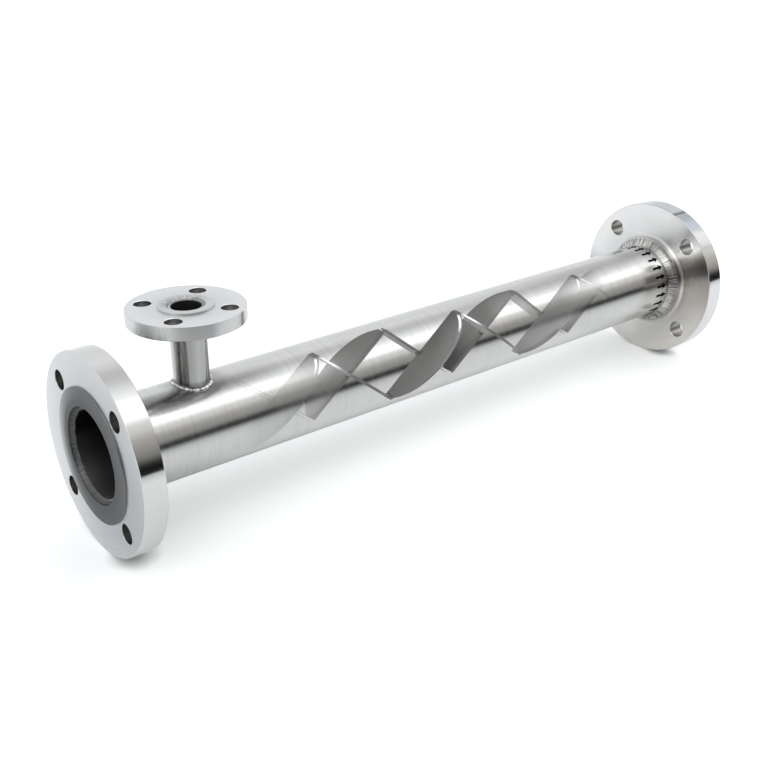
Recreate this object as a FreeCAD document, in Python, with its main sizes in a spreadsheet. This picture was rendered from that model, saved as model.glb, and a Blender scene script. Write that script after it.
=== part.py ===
import FreeCAD, Part
import math
import os

import Sketcher

# Flanged in-line static mixer for a 3 inch stainless line, with a 1 inch dosing nozzle.
# All sizes are in millimetres.
#
# The origin is on the pipe's axis, in the plane of the inlet flange's bolting face.
# +X runs downstream along the pipe, and +Z runs up along the dosing nozzle.
# Left and right are as seen looking downstream, so left is +Y.

Vector = FreeCAD.Vector
Rotation = FreeCAD.Rotation

ALONG_X = Rotation(Vector(0, 1, 0), 90)
ALONG_X_FLIPPED = Rotation(Vector(1, 0, 1), 180)
HALF_TURN = Rotation(Vector(0, 0, 1), 180)
NO_TURN = Rotation()

# Driving dimensions. Each one is set here only, and every feature reads it from the sheet.
SIZES = [
    # Housing pipe: 3 inch, schedule 10S.
    ("face_to_face", 787, "raised face to raised face, 31 inches"),
    ("pipe_dia", 88.9, "outside diameter of the housing pipe"),
    ("pipe_wall", 3.05, "wall of the housing pipe"),
    ("pipe_setback", 5, "pipe end behind the raised face"),
    # Main flanges: class 150 slip-on with a raised face.
    ("main_dia", 190.5, "flange outside diameter"),
    ("main_thickness", 23.9, "flange thickness, raised face included"),
    ("main_face_dia", 127, "raised face diameter"),
    ("main_face_height", 1.6, "raised face height"),
    ("main_slip_gap", 0.9, "pipe to the flange's bore, all round"),
    ("main_hub_wall", 8.65, "wall of the hub round its bore"),
    ("main_hub_length", 30.2, "raised face to the end of the hub"),
    ("main_hub_root", 4, "sloped root where the hub meets the flange"),
    ("main_rim_chamfer", 1, "broken edges of the rim"),
    ("main_bolt_circle", 152.4, "bolt circle diameter"),
    ("main_bolt_hole", 19.05, "bolt hole diameter"),
    ("main_bolt_count", 4, "bolt holes, which straddle the centre lines"),
    # Nozzle: 1 inch, schedule 10S, set on the housing pipe.
    ("nozzle_from_face", 104, "inlet raised face to the nozzle's axis"),
    ("nozzle_rise", 118, "pipe axis to the nozzle's raised face"),
    ("nozzle_pipe_dia", 33.4, "outside diameter of the nozzle pipe"),
    ("nozzle_pipe_wall", 2.77, "wall of the nozzle pipe"),
    ("nozzle_setback", 2, "nozzle pipe end behind its raised face"),
    # Nozzle flange: class 150 slip-on with a raised face.
    ("nozzle_dia", 108, "flange outside diameter"),
    ("nozzle_thickness", 14.3, "flange thickness, raised face included"),
    ("nozzle_face_dia", 50.8, "raised face diameter"),
    ("nozzle_face_height", 1.6, "raised face height"),
    ("nozzle_slip_gap", 0.55, "pipe to the flange's bore, all round"),
    ("nozzle_hub_wall", 7.4, "wall of the hub round its bore"),
    ("nozzle_hub_length", 17.5, "raised face to the end of the hub"),
    ("nozzle_hub_root", 2, "sloped root where the hub meets the flange"),
    ("nozzle_rim_chamfer", 0.7, "broken edges of the rim"),
    ("nozzle_bolt_circle", 79.4, "bolt circle diameter"),
    ("nozzle_bolt_hole", 15.9, "bolt hole diameter"),
    ("nozzle_bolt_count", 4, "bolt holes, which straddle the centre lines"),
    # Welds.
    ("main_weld_height", 8.5, "back weld, leg up the end of the hub"),
    ("main_weld_length", 6.8, "back weld, leg along the pipe"),
    ("nozzle_weld_height", 4.5, "back weld, leg up the end of the hub"),
    ("nozzle_weld_length", 4.5, "back weld, leg along the pipe"),
    ("bore_weld_inset", 0.4, "bore weld, start behind the raised face"),
    ("bore_weld_lip", 0.5, "bare edge left on the pipe's end"),
    ("saddle_weld_leg", 4, "leg of the weld round the nozzle's foot"),
    # Mixing elements: two half-ellipse plates each, which cross on the stack's axis.
    ("element_count", 6, "elements in the stack"),
    ("element_start", 142, "inlet raised face to the first element"),
    ("element_pitch", 95, "length of one element"),
    ("element_clearance", 3.9, "bore radius less that of the plates' rounded edges"),
    ("plate_thickness", 3, "thickness of a plate"),
    ("tack_gap", 1.5, "gap under the plates' lowest corners"),
    ("centre_weld_width", 8, "weld round the crossing of two plates"),
    ("centre_weld_length", 7, "length of that weld, across the stack"),
    ("tip_weld_depth", 2.2, "weld in the notch between two elements"),
    ("tip_weld_length", 9, "length of that weld"),
    ("wall_tack_width", 7, "tack between a plate's corner and the bore"),
]

doc = FreeCAD.newDocument("static_mixer")

sheet = doc.addObject("Spreadsheet::Sheet", "Sizes")
for row, (alias, number, note) in enumerate(SIZES, start=1):
    sheet.set("A%d" % row, note)
    sheet.set("B%d" % row, str(number))
    sheet.setAlias("B%d" % row, alias)
doc.recompute()

# Places that several pieces share, as expressions on the sheet.
PIPE_RADIUS = "Sizes.pipe_dia / 2"
BORE_RADIUS = "(Sizes.pipe_dia / 2 - Sizes.pipe_wall)"
NOZZLE_RADIUS = "Sizes.nozzle_pipe_dia / 2"
NOZZLE_BORE_RADIUS = "(Sizes.nozzle_pipe_dia / 2 - Sizes.nozzle_pipe_wall)"
INLET_FACE_X = "(-Sizes.main_face_height)"
OUTLET_FACE_X = "(Sizes.face_to_face - Sizes.main_face_height)"
NOZZLE_X = "(Sizes.nozzle_from_face - Sizes.main_face_height)"
STACK_START_X = "(Sizes.element_start - Sizes.main_face_height)"
ELEMENT_RADIUS = "(%s - Sizes.element_clearance)" % BORE_RADIUS
# The stack lies low in the bore, on its wall tacks.
STACK_AXIS_Z = "(Sizes.tack_gap - Sizes.element_clearance)"
# How steeply a plate climbs: across the whole stack in the length of one element.
PLATE_ANGLE = "atan(2 * %s / Sizes.element_pitch)" % ELEMENT_RADIUS
# Height of a plate's cut end, measured square to the stack's axis.
PLATE_CUT_HEIGHT = "(Sizes.plate_thickness / cos(%s))" % PLATE_ANGLE


def value(expression):
    """The number that an expression has now."""
    return float(sheet.evalExpression(expression))


def drive(obj, bindings):
    """Bind properties of an object to expressions on the sheet."""
    for path, expression in bindings.items():
        obj.setExpression(path, expression)


def place(obj, rotation, x="0", y="0", z="0"):
    """Turn an object and bind its place to expressions."""
    obj.Placement = FreeCAD.Placement(Vector(value(x), value(y), value(z)), rotation)
    drive(obj, {"Placement.Base.x": x, "Placement.Base.y": y, "Placement.Base.z": z})


def new_body(name):
    body = doc.addObject("PartDesign::Body", name)
    body.Label = name
    return body


def origin_feature(body, role):
    return next(item for item in body.Origin.OriginFeatures if item.Role == role)


def new_sketch(body, name, plane_role):
    sketch = body.newObject("Sketcher::SketchObject", name)
    sketch.AttachmentSupport = (origin_feature(body, plane_role), [""])
    sketch.MapMode = "FlatFace"
    return sketch


def constrain(sketch, kind, *items, expression):
    """Add a dimension that follows an expression."""
    index = sketch.addConstraint(Sketcher.Constraint(kind, *items, value(expression)))
    sketch.setExpression("Constraints[%d]" % index, expression)


def draw_outline(sketch, corners):
    """Draw a closed outline whose corners are pairs of expressions, across and up.

    A side along an axis of the sketch is held by that, and every other coordinate by a
    dimension from the origin.
    """
    points = [Vector(value(across), value(up), 0) for across, up in corners]
    count = len(corners)
    for side in range(count):
        sketch.addGeometry(Part.LineSegment(points[side], points[(side + 1) % count]), False)
    for side in range(count):
        sketch.addConstraint(Sketcher.Constraint("Coincident", side, 2, (side + 1) % count, 1))
    for side, (across, up) in enumerate(corners):
        before = side - 1
        if side and corners[before][0] == across:
            sketch.addConstraint(Sketcher.Constraint("Vertical", before))
        else:
            constrain(sketch, "DistanceX", -1, 1, side, 1, expression=across)
        if side and corners[before][1] == up:
            sketch.addConstraint(Sketcher.Constraint("Horizontal", before))
        else:
            constrain(sketch, "DistanceY", -1, 1, side, 1, expression=up)


def turned(body, name, corners):
    """Turn an outline about the body's X axis. Across is along the axis, up is outwards."""
    sketch = new_sketch(body, name + "_outline", "XZ_Plane")
    draw_outline(sketch, corners)
    revolution = body.newObject("PartDesign::Revolution", name)
    revolution.Profile = sketch
    revolution.ReferenceAxis = (sketch, ["H_Axis"])
    revolution.Angle = 360
    doc.recompute()
    return revolution


def rings_at(shape, rings):
    """Names of the circular edges about X, each given by its place along X and its radius."""
    found = []
    for index, edge in enumerate(shape.Edges, start=1):
        if not isinstance(edge.Curve, Part.Circle):
            continue
        for along, radius in rings:
            same_place = abs(edge.Curve.Center.x - along) < 1e-4
            on_axis = math.hypot(edge.Curve.Center.y, edge.Curve.Center.z) < 1e-4
            if same_place and on_axis and abs(edge.Curve.Radius - radius) < 1e-4:
                found.append("Edge%d" % index)
    return found


def chamfered(body, name, base, size, rings):
    """Break the circular edges of a turned piece."""
    feature = body.newObject("PartDesign::Chamfer", name)
    places = [(value(along), value(radius)) for along, radius in rings]
    feature.Base = (base, rings_at(base.Shape, places))
    drive(feature, {"Size": size})
    doc.recompute()
    return feature


def slip_on_flange(name, family, pipe_radius, rotation, x, z):
    """A slip-on flange with a raised face, a hub and bolt holes.

    In its own frame the raised face is at X = 0 and the hub points along +X.
    Family is main or nozzle, and picks the sizes. The bore and the hub follow the pipe.
    """
    size = "Sizes.%s_%%s" % family
    bore = "(%s + %s)" % (pipe_radius, size % "slip_gap")
    face = size % "face_dia" + " / 2"
    rim = size % "dia" + " / 2"
    hub = "(%s + %s)" % (bore, size % "hub_wall")
    step = size % "face_height"
    back = size % "thickness"
    hub_end = size % "hub_length"
    root = size % "hub_root"
    body = new_body(name)
    blank = turned(
        body,
        name + "_blank",
        [
            ("0", bore),
            ("0", face),
            (step, face),
            (step, rim),
            (back, rim),
            (back, "%s + %s" % (hub, root)),
            ("%s + %s" % (back, root), hub),
            (hub_end, hub),
            (hub_end, bore),
        ],
    )
    rims = [(step, rim), (back, rim)]
    turned_flange = chamfered(body, name + "_rim_edges", blank, size % "rim_chamfer", rims)

    # One bolt hole, half a spacing off the centre line, and then the others round it.
    sketch = new_sketch(body, name + "_hole_place", "YZ_Plane")
    sketch.addGeometry(Part.Circle(Vector(0, 0, 0), Vector(0, 0, 1), 1), False)
    angle = "180 / %s" % (size % "bolt_count")
    circle_radius = size % "bolt_circle" + " / 2"
    constrain(
        sketch, "DistanceX", -1, 1, 0, 3, expression="%s * cos(%s)" % (circle_radius, angle)
    )
    constrain(
        sketch, "DistanceY", -1, 1, 0, 3, expression="%s * sin(%s)" % (circle_radius, angle)
    )
    constrain(sketch, "Diameter", 0, expression=size % "bolt_hole")
    hole = body.newObject("PartDesign::Pocket", name + "_bolt_hole")
    hole.Profile = sketch
    hole.Type = "ThroughAll"
    hole.Reversed = True
    doc.recompute()
    must_remove(turned_flange, hole)
    holes = body.newObject("PartDesign::PolarPattern", name + "_bolt_holes")
    holes.Originals = [hole]
    holes.Axis = (origin_feature(body, "X_Axis"), [""])
    holes.Angle = 360
    drive(holes, {"Occurrences": size % "bolt_count"})
    body.Tip = holes
    place(body, rotation, x=x, z=z)
    doc.recompute()
    must_remove(hole, holes)
    return body


def must_remove(before, after):
    """Stop if a cut took nothing away."""
    if after.Shape.Volume > before.Shape.Volume - 1:
        raise RuntimeError("%s cut nothing" % after.Label)


def back_weld(name, family, pipe_radius, rotation, x, z):
    """The ring of weld between the end of a flange's hub and its pipe."""
    hub_end = "Sizes.%s_hub_length" % family
    top = "%s + Sizes.%s_weld_height" % (pipe_radius, family)
    toe = "%s + Sizes.%s_weld_length" % (hub_end, family)
    body = new_body(name)
    corners = [(toe, pipe_radius), (hub_end, pipe_radius), (hub_end, top)]
    turned(body, name + "_bead", corners)
    place(body, rotation, x=x, z=z)
    return body


def bore_weld(name, family, pipe_radius, pipe_bore_radius, setback, rotation, x, z):
    """The ring of weld inside a flange, from its bore down to the end of the pipe."""
    bore = "%s + Sizes.%s_slip_gap" % (pipe_radius, family)
    lip = "%s + Sizes.bore_weld_lip" % pipe_bore_radius
    body = new_body(name)
    corners = [("Sizes.bore_weld_inset", bore), (setback, bore), (setback, lip)]
    turned(body, name + "_bead", corners)
    place(body, rotation, x=x, z=z)
    return body


def housing_pipe():
    """The straight pipe, with the branch hole under the nozzle."""
    body = new_body("housing_pipe")
    start = "Sizes.pipe_setback - Sizes.main_face_height"
    end = "%s - Sizes.pipe_setback" % OUTLET_FACE_X
    tube = turned(
        body,
        "housing_tube",
        [(start, BORE_RADIUS), (start, PIPE_RADIUS), (end, PIPE_RADIUS), (end, BORE_RADIUS)],
    )
    sketch = new_sketch(body, "branch_hole_place", "XY_Plane")
    sketch.addGeometry(Part.Circle(Vector(value(NOZZLE_X), 0, 0), Vector(0, 0, 1), 1), False)
    sketch.addConstraint(Sketcher.Constraint("PointOnObject", 0, 3, -1))
    constrain(sketch, "DistanceX", -1, 1, 0, 3, expression=NOZZLE_X)
    constrain(sketch, "Radius", 0, expression=NOZZLE_BORE_RADIUS)
    hole = body.newObject("PartDesign::Pocket", "branch_hole")
    hole.Profile = sketch
    hole.Type = "ThroughAll"
    hole.Reversed = True
    doc.recompute()
    must_remove(tube, hole)
    return body


def nozzle_pipe():
    """The branch, coped at its foot to sit on the housing pipe."""
    body = new_body("nozzle_pipe")
    sketch = new_sketch(body, "nozzle_pipe_section", "XY_Plane")
    for index, radius in enumerate([NOZZLE_RADIUS, NOZZLE_BORE_RADIUS]):
        circle = Part.Circle(Vector(0, 0, 0), Vector(0, 0, 1), value(radius))
        sketch.addGeometry(circle, False)
        sketch.addConstraint(Sketcher.Constraint("Coincident", index, 3, -1, 1))
        constrain(sketch, "Radius", index, expression=radius)
    tube = body.newObject("PartDesign::Pad", "nozzle_tube")
    tube.Profile = sketch
    drive(tube, {"Length": "Sizes.nozzle_rise - Sizes.nozzle_setback"})
    doc.recompute()

    # The cope follows the outside of the housing pipe, which runs along X through the origin.
    reach = "Sizes.nozzle_pipe_dia"
    outline = new_sketch(body, "cope_outline", "XZ_Plane")
    draw_outline(
        outline,
        [("-" + reach, "0"), ("-" + reach, PIPE_RADIUS), (reach, PIPE_RADIUS), (reach, "0")],
    )
    cope = body.newObject("PartDesign::Groove", "nozzle_cope")
    cope.Profile = outline
    cope.ReferenceAxis = (outline, ["H_Axis"])
    cope.Angle = 360
    place(body, NO_TURN, x=NOZZLE_X)
    doc.recompute()
    must_remove(tube, cope)
    return body


def cylinder(name, radius, height, rotation, x="0", y="0", z="0", angle=360):
    """A cylinder, or a slice of one, whose sizes and place are expressions."""
    obj = doc.addObject("Part::Cylinder", name)
    obj.Angle = angle
    drive(obj, {"Radius": radius, "Height": height})
    place(obj, rotation, x, y, z)
    return obj


def boolean(kind, name, base, tool):
    obj = doc.addObject("Part::" + kind, name)
    obj.Base = base
    obj.Tool = tool
    doc.recompute()
    return obj


def nozzle_saddle_weld():
    """The bead round the nozzle's foot, which rises and falls over the housing pipe.

    It fills the corner between the two pipes: what is within one leg of both, less the pipes.
    """
    leg = "Sizes.saddle_weld_leg"
    span = "3 * Sizes.nozzle_pipe_dia"
    start = "%s - 1.5 * Sizes.nozzle_pipe_dia" % NOZZLE_X
    rise = "Sizes.nozzle_rise"
    branch_reach = "%s + %s" % (NOZZLE_RADIUS, leg)
    run_reach = "%s + %s" % (PIPE_RADIUS, leg)
    branch_skin = cylinder("saddle_branch_skin", branch_reach, rise, NO_TURN, x=NOZZLE_X)
    run_skin = cylinder("saddle_run_skin", run_reach, span, ALONG_X, x=start)
    blank = boolean("Common", "saddle_blank", branch_skin, run_skin)
    run = cylinder("saddle_run", PIPE_RADIUS, span, ALONG_X, x=start)
    off_run = boolean("Cut", "saddle_off_run", blank, run)
    branch = cylinder("saddle_branch", NOZZLE_RADIUS, rise, NO_TURN, x=NOZZLE_X)
    square_bead = boolean("Cut", "saddle_square_bead", off_run, branch)

    centre = Vector(value(NOZZLE_X), 0, 0)
    outer_edges = []
    for index, edge in enumerate(square_bead.Shape.Edges, start=1):
        middle = edge.valueAt((edge.FirstParameter + edge.LastParameter) / 2) - centre
        from_branch = math.hypot(middle.x, middle.y)
        from_run = math.hypot(middle.y, middle.z)
        on_branch_skin = abs(from_branch - value(branch_reach)) < 1e-3
        if on_branch_skin and abs(from_run - value(run_reach)) < 1e-3:
            outer_edges.append(index)
    crown_radius = 0.85 * value(leg)
    bead = doc.addObject("Part::Fillet", "nozzle_saddle_weld")
    bead.Base = square_bead
    bead.Edges = [(index, crown_radius, crown_radius) for index in outer_edges]
    bead.Label = "nozzle_saddle_weld"
    return bead


def junction_x(number):
    """Where element number ends and the next one starts, as an expression."""
    return "(%s + %d * Sizes.element_pitch)" % (STACK_START_X, number)


def rises(number, side):
    """Whether a plate climbs downstream: the right one does in odd elements."""
    return (number % 2 == 1) == (side == "right")


def mixing_plate(number, side):
    """One half-ellipse plate of an element.

    It is a sloping slab, trimmed to its half of a cylinder as long as the element. That
    gives the rounded edge and the mitred ends, which meet the plates of the next elements.
    """
    name = "element_%d_%s_plate" % (number, side)
    middle_x = "(%s + Sizes.element_pitch / 2)" % junction_x(number - 1)
    sign = -1 if rises(number, side) else 1
    tilt = "(%d * %s)" % (sign, PLATE_ANGLE)

    slab = doc.addObject("Part::Box", name + "_slab")
    slab_length = "(Sizes.element_pitch + 2 * %s)" % ELEMENT_RADIUS
    drive(
        slab,
        {
            "Length": slab_length,
            "Width": ELEMENT_RADIUS,
            "Height": "Sizes.plate_thickness",
        },
    )
    half_length = slab_length + " / 2"
    half_thick = "Sizes.plate_thickness / 2"
    place(
        slab,
        Rotation(Vector(0, 1, 0), value(tilt)),
        x="%s - %s * cos(%s) - %s * sin(%s)" % (middle_x, half_length, tilt, half_thick, tilt),
        y="0" if side == "left" else "-" + ELEMENT_RADIUS,
        z="%s + %s * sin(%s) - %s * cos(%s)" % (STACK_AXIS_Z, half_length, tilt, half_thick, tilt),
    )
    drive(slab, {"Placement.Rotation.Angle": tilt})

    half_core = cylinder(
        name + "_half_core",
        ELEMENT_RADIUS,
        "Sizes.element_pitch",
        ALONG_X if side == "left" else ALONG_X_FLIPPED,
        x=junction_x(number - 1),
        z=STACK_AXIS_Z,
        angle=180,
    )
    plate = boolean("Common", name, slab, half_core)
    plate.Label = name
    return plate


def fused_plates(name, plates):
    joined = doc.addObject("Part::MultiFuse", name)
    joined.Shapes = plates
    doc.recompute()
    return joined


def centre_weld(number, plates):
    """The weld that wraps the crossing of an element's two plates, a blunt eight-sided bead."""
    bead = doc.addObject("Part::Prism", "centre_weld_%d_bead" % number)
    bead.Polygon = 8
    drive(
        bead,
        {"Circumradius": "Sizes.centre_weld_width / 2", "Height": "Sizes.centre_weld_length"},
    )
    place(
        bead,
        Rotation(Vector(1, 0, 0), -90),
        x="%s + Sizes.element_pitch / 2" % junction_x(number - 1),
        y="-Sizes.centre_weld_length / 2",
        z=STACK_AXIS_Z,
    )
    crossing = fused_plates("centre_weld_%d_plates" % number, plates)
    return boolean("Cut", "centre_weld_%d" % number, bead, crossing)


def tip_weld(number, level, side, plates):
    """The flat-faced weld that fills the notch between two plates.

    Level is the top or the bottom of the junction. The plates' inner faces meet in the notch,
    and the weld fills it to its depth, a little clear of the stack's centre plane.
    """
    name = "tip_weld_%d_%s" % (number, level)
    depth = "Sizes.tip_weld_depth"
    reach = "(%s / tan(%s))" % (depth, PLATE_ANGLE)
    block = doc.addObject("Part::Box", name + "_block")
    drive(block, {"Length": "2 * " + reach, "Width": "Sizes.tip_weld_length", "Height": depth})
    notch = "(%s - %s / 2)" % (ELEMENT_RADIUS, PLATE_CUT_HEIGHT)
    inset = "Sizes.plate_thickness / 2"
    place(
        block,
        NO_TURN,
        x="%s - %s" % (junction_x(number), reach),
        y=inset if side == "left" else "-%s - Sizes.tip_weld_length" % inset,
        z="%s + %s - %s" % (STACK_AXIS_Z, notch, depth)
        if level == "top"
        else "%s - %s" % (STACK_AXIS_Z, notch),
    )
    meeting = fused_plates(name + "_plates", plates)
    return boolean("Cut", name, block, meeting)


def wall_tack(number, side):
    """The tack between the plates' lowest corner and the bottom of the bore.

    It is a blunt peg of weld, trimmed to the gap between the bore and the plates' rounded
    edges.
    """
    name = "wall_tack_%d" % number
    width = "Sizes.wall_tack_width"
    peg = doc.addObject("Part::Box", name + "_peg")
    drive(peg, {"Length": width, "Width": width, "Height": BORE_RADIUS})
    place(
        peg,
        NO_TURN,
        x="%s - %s / 2" % (junction_x(number), width),
        y="0" if side == "left" else "-" + width,
        z="-" + PIPE_RADIUS,
    )
    length = "2 * Sizes.wall_tack_width"
    start = "%s - Sizes.wall_tack_width" % junction_x(number)
    bore = cylinder(name + "_bore", BORE_RADIUS, length, ALONG_X, x=start)
    inside = boolean("Common", name + "_inside", peg, bore)
    core = cylinder(name + "_core", ELEMENT_RADIUS, length, ALONG_X, x=start, z=STACK_AXIS_Z)
    return boolean("Cut", name, inside, core)


def group(name, pieces):
    compound = doc.addObject("Part::Compound", name)
    compound.Links = pieces
    compound.Label = name
    return compound


def other(side):
    return "right" if side == "left" else "left"


def low_side(number):
    """Which side's plates meet at the bottom of a junction."""
    return "right" if number % 2 == 0 else "left"


def element_stack():
    """All the plates and the welds that join them to each other and to the bore."""
    count = round(value("Sizes.element_count"))
    plates = {}
    for number in range(1, count + 1):
        for side in ("left", "right"):
            plates[number, side] = mixing_plate(number, side)

    def meeting(number, side):
        return [plates[number, side], plates[number + 1, side]]

    centre_welds = [
        centre_weld(number, [plates[number, "left"], plates[number, "right"]])
        for number in range(1, count + 1)
    ]
    tip_welds = []
    for number in range(1, count):
        low = low_side(number)
        tip_welds.append(tip_weld(number, "bottom", low, meeting(number, low)))
        tip_welds.append(tip_weld(number, "top", other(low), meeting(number, other(low))))
    wall_tacks = [wall_tack(number, low_side(number)) for number in range(count + 1)]
    return list(plates.values()) + [
        group("element_centre_welds", centre_welds),
        group("element_tip_welds", tip_welds),
        group("element_wall_tacks", wall_tacks),
    ]


# Each flange stands where its raised face is, with its hub pointing at the pipe.
INLET = (NO_TURN, INLET_FACE_X, "0")
OUTLET = (HALF_TURN, OUTLET_FACE_X, "0")
NOZZLE = (ALONG_X, NOZZLE_X, "Sizes.nozzle_rise")

# Outside and bore radius of each pipe.
MAIN_PIPE = (PIPE_RADIUS, BORE_RADIUS)
NOZZLE_PIPE = (NOZZLE_RADIUS, NOZZLE_BORE_RADIUS)

back_welds = [
    back_weld("inlet_back_weld", "main", PIPE_RADIUS, *INLET),
    back_weld("outlet_back_weld", "main", PIPE_RADIUS, *OUTLET),
    back_weld("nozzle_back_weld", "nozzle", NOZZLE_RADIUS, *NOZZLE),
]
bore_welds = [
    bore_weld("inlet_bore_weld", "main", *MAIN_PIPE, "Sizes.pipe_setback", *INLET),
    bore_weld("outlet_bore_weld", "main", *MAIN_PIPE, "Sizes.pipe_setback", *OUTLET),
    bore_weld("nozzle_bore_weld", "nozzle", *NOZZLE_PIPE, "Sizes.nozzle_setback", *NOZZLE),
]
pieces = [
    housing_pipe(),
    slip_on_flange("inlet_flange", "main", PIPE_RADIUS, *INLET),
    slip_on_flange("outlet_flange", "main", PIPE_RADIUS, *OUTLET),
    nozzle_pipe(),
    slip_on_flange("nozzle_flange", "nozzle", NOZZLE_RADIUS, *NOZZLE),
    group("outside_welds", back_welds + [nozzle_saddle_weld()]),
    group("bore_welds", bore_welds),
]
pieces += element_stack()
doc.recompute()

for obj in doc.Objects:
    if "Invalid" in obj.State or "Error" in obj.State:
        raise RuntimeError("%s failed to build" % obj.Label)

os.makedirs("parts", exist_ok=True)
for piece in pieces:
    shape = piece.Shape
    if shape.isNull() or not shape.isValid() or not shape.Solids:
        raise RuntimeError("%s is not a sound solid" % piece.Label)
    shape.exportStep("parts/%s.step" % piece.Label)
    print("%-28s solids %d, volume %.1f cm3" % (piece.Label, len(shape.Solids), shape.Volume / 1000))
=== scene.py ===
# %% [markdown]
# # A flanged static mixer, dressed for its photograph
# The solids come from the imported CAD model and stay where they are. Here each visible piece
# gets a finer body: rounded edges, rippled weld beads and brushed, turned and polished steel.
# One unit is a metre, the pipe runs along X, and the dosing nozzle points up along Z.

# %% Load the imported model
import math
import random
from contextlib import contextmanager

import bpy
from mathutils import Matrix, Vector


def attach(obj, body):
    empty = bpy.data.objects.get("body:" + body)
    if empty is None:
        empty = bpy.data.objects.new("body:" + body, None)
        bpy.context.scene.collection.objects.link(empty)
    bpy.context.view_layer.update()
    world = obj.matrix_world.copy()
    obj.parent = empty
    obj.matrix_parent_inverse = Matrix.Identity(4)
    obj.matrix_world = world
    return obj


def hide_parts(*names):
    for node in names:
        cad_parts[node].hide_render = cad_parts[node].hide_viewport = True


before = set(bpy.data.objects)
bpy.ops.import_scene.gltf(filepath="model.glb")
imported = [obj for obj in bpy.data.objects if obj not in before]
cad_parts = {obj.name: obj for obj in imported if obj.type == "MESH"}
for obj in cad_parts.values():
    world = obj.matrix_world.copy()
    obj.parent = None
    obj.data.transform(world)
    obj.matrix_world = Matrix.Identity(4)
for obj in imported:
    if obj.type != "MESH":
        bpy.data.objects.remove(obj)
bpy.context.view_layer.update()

MM = 0.001

# %% [markdown]
# ## Sizes
# The numbers below repeat the solids' own sizes, in millimetres. A flange's sizes are radii
# about its axis and distances behind its raised face. Its root and edge are roundings.

# %% Sizes in millimetres
PIPE_R, BORE_R = 44.45, 41.4
INLET_FACE, OUTLET_FACE = -1.6, 785.4
PIPE_SETBACK, NOZZLE_SETBACK = 5.0, 2.0
NOZZLE_X, NOZZLE_TOP = 102.4, 118.0
NOZZLE_R, NOZZLE_BORE_R = 16.7, 13.93
MAIN_FLANGE = dict(
    bore=45.35, face=63.5, rim=95.25, hub=54.0, step=1.6, back=23.9, hub_end=30.2,
    bolt_circle=76.2, bolt_hole=9.525, root=4.0, edge=0.9,
)
NOZZLE_FLANGE = dict(
    bore=17.25, face=25.4, rim=54.0, hub=24.65, step=1.6, back=14.3, hub_end=17.5,
    bolt_circle=39.7, bolt_hole=7.95, root=2.0, edge=0.6,
)
STACK_START, STACK_Z = 140.4, -2.4
ELEMENT_PITCH, ELEMENT_COUNT, ELEMENT_R = 95.0, 6, 37.5
PLATE_THICKNESS = 3.0
FLOOR_Z = -MAIN_FLANGE["rim"]

# %% [markdown]
# ## The camera
# The photograph looks down at the mixer from the inlet end. The place and the direction were
# solved from the flange circles and the pipe's edges, with a lens of about 50 mm.

# %% Camera
EYE = Vector((-323.84, -800.90, 450.40))
LOOK = Vector((0.5737, 0.7042, -0.4182)).normalized()
ACROSS = Vector((0.7763, -0.6304, 0.0034)).normalized()
UPWARD = ACROSS.cross(LOOK).normalized()
camera_data = bpy.data.cameras.new("photo_camera")
camera_data.sensor_width = 36.0
camera_data.lens = 50.29
camera_data.clip_start = 0.05
camera_data.clip_end = 30.0
camera = bpy.data.objects.new("photo_camera", camera_data)
bpy.context.scene.collection.objects.link(camera)
camera.matrix_world = Matrix(
    (
        (ACROSS.x, UPWARD.x, -LOOK.x, EYE.x * MM),
        (ACROSS.y, UPWARD.y, -LOOK.y, EYE.y * MM),
        (ACROSS.z, UPWARD.z, -LOOK.z, EYE.z * MM),
        (0, 0, 0, 1),
    )
)
bpy.context.scene.camera = camera
bpy.context.scene.view_settings.view_transform = "Standard"

# %% [markdown]
# ## Writing shaders as sums
# A material is a net of nodes. Wiring each one by hand is long, so a small class wraps a
# socket, and adding, multiplying or comparing two of them adds the Math node that does it.


# %% A socket that can be added and multiplied
def maths(operation, swapped=False):
    """An operator of the class below: the Math node of that name, on two values."""

    def apply(self, other):
        first, second = (other, self) if swapped else (self, other)
        return self.node("ShaderNodeMath", {"operation": operation}, i0=first, i1=second)

    return apply


def connect(socket, given):
    """Link a socket to a value, or set it to a number or a colour."""
    if isinstance(given, Value):
        given.tree.links.new(given.socket, socket)
    else:
        socket.default_value = (*given, 1.0) if isinstance(given, tuple) else given


def rgb(tone):
    """A colour. A grey may be written as one number."""
    return (tone, tone, tone) if isinstance(tone, (int, float)) else tone


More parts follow.
